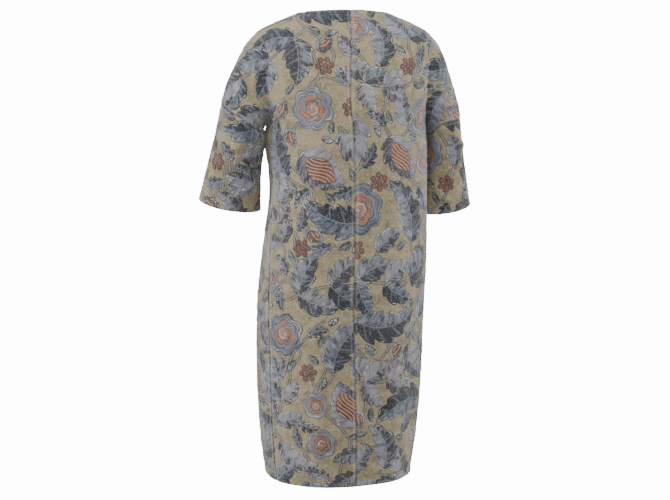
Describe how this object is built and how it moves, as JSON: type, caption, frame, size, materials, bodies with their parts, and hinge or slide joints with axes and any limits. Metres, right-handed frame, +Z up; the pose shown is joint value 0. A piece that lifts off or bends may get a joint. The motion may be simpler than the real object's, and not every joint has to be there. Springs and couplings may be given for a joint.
{
  "type": "knee-length dress",
  "caption": "Straight knee-length dress with dropped shoulders, wide elbow sleeves and a centre back seam, holding its worn shape.",
  "frame": {"origin": "midway between the two neck points, where the dress rests on the wearer's shoulders", "axes": "+X to the wearer's left, +Y to the wearer's back, +Z up"},
  "size_m": [0.572, 0.2764, 0.938],
  "materials": {
    "body_cloth": "matt floral jacquard",
    "sleeve_cloth": "matt floral jacquard"
  },
  "bodies": {
    "root": {"back_left": "body_cloth", "back_right": "body_cloth", "front": "body_cloth", "sleeve_left": "sleeve_cloth", "sleeve_right": "sleeve_cloth"}
  },
  "joints": []
}
